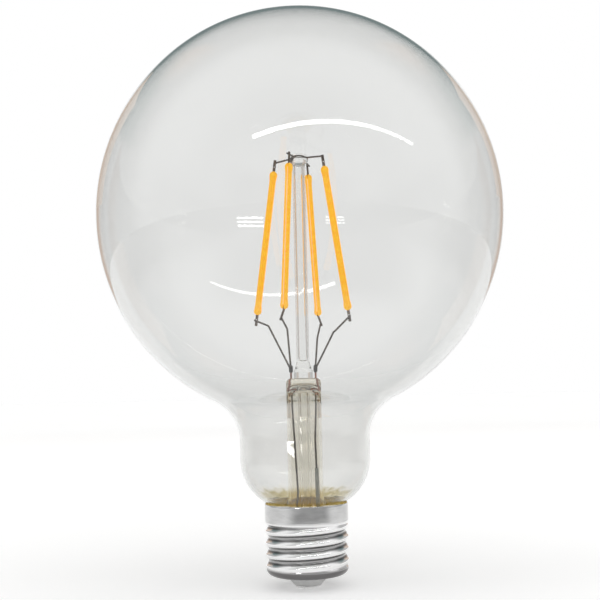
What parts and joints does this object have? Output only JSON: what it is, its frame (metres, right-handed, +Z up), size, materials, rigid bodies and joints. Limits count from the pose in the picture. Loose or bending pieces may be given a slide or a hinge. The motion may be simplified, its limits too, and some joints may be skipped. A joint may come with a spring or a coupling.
{
  "type": "globe light bulb",
  "caption": "Clear glass globe bulb with leaning yellow filament sticks on a glass stem and a threaded screw cap.",
  "frame": {"origin": "centre of the lower face of the centre contact", "axes": "+Z up along the bulb's axis from the cap to the globe, +Y away from the picture's camera, +X to its right"},
  "size_m": [0.125, 0.125, 0.177],
  "materials": {
    "globe_glass": "clear polished",
    "stem_glass": "clear, slightly warm",
    "nickel_wire": "drawn wire",
    "copper_wire": "drawn wire",
    "weld": "dark weld",
    "sleeve": "matt",
    "shell_metal": "bright nickel plate",
    "contact_metal": "bright",
    "insulator": "satin",
    "cement": "matt, hardened",
    "phosphor": "satin silicone",
    "led_chip": "polished",
    "strip_ceramic": "fired ceramic",
    "tab_metal": "stamped sheet",
    "board": "solder mask",
    "component_black": "moulded",
    "capacitor_can": "sleeved can",
    "resistor_body": "coated"
  },
  "bodies": {
    "root": {"basing_cement": "cement", "bridge_rectifier": "component_black", "cap_insulator": "insulator", "centre_contact": "contact_metal", "contact_wire": "copper_wire", "driver_board": "board", "driver_chip": "component_black", "exhaust_tube": "stem_glass", "filament_back_chips": "led_chip", "filament_back_coat": "phosphor", "filament_back_lower_tab": "tab_metal", "filament_back_strip": "strip_ceramic", "filament_back_upper_tab": "tab_metal", "filament_front_chips": "led_chip", "filament_front_coat": "phosphor", "filament_front_lower_tab": "tab_metal", "filament_front_strip": "strip_ceramic", "filament_front_upper_tab": "tab_metal", "filament_left_chips": "led_chip", "filament_left_coat": "phosphor", "filament_left_lower_tab": "tab_metal", "filament_left_strip": "strip_ceramic", "filament_left_upper_tab": "tab_metal", "filament_right_chips": "led_chip", "filament_right_coat": "phosphor", "filament_right_lower_tab": "tab_metal", "filament_right_strip": "strip_ceramic", "filament_right_upper_tab": "tab_metal", "fuse_resistor": "resistor_body", "glass_globe": "globe_glass", "inner_lead_back": "nickel_wire", "inner_lead_front": "nickel_wire", "inner_lead_left": "nickel_wire", "inner_lead_right": "nickel_wire", "lead_sleeve": "sleeve", "outer_lead_left": "nickel_wire", "outer_lead_right": "nickel_wire", "screw_shell": "shell_metal", "seal_wire_left": "copper_wire", "seal_wire_right": "copper_wire", "shell_wire": "copper_wire", "smoothing_capacitor": "capacitor_can", "stem_flare": "stem_glass", "support_rod": "stem_glass", "top_jumper_back": "nickel_wire", "top_jumper_front": "nickel_wire", "weld_knot_left": "weld", "weld_knot_right": "weld"}
  },
  "joints": []
}
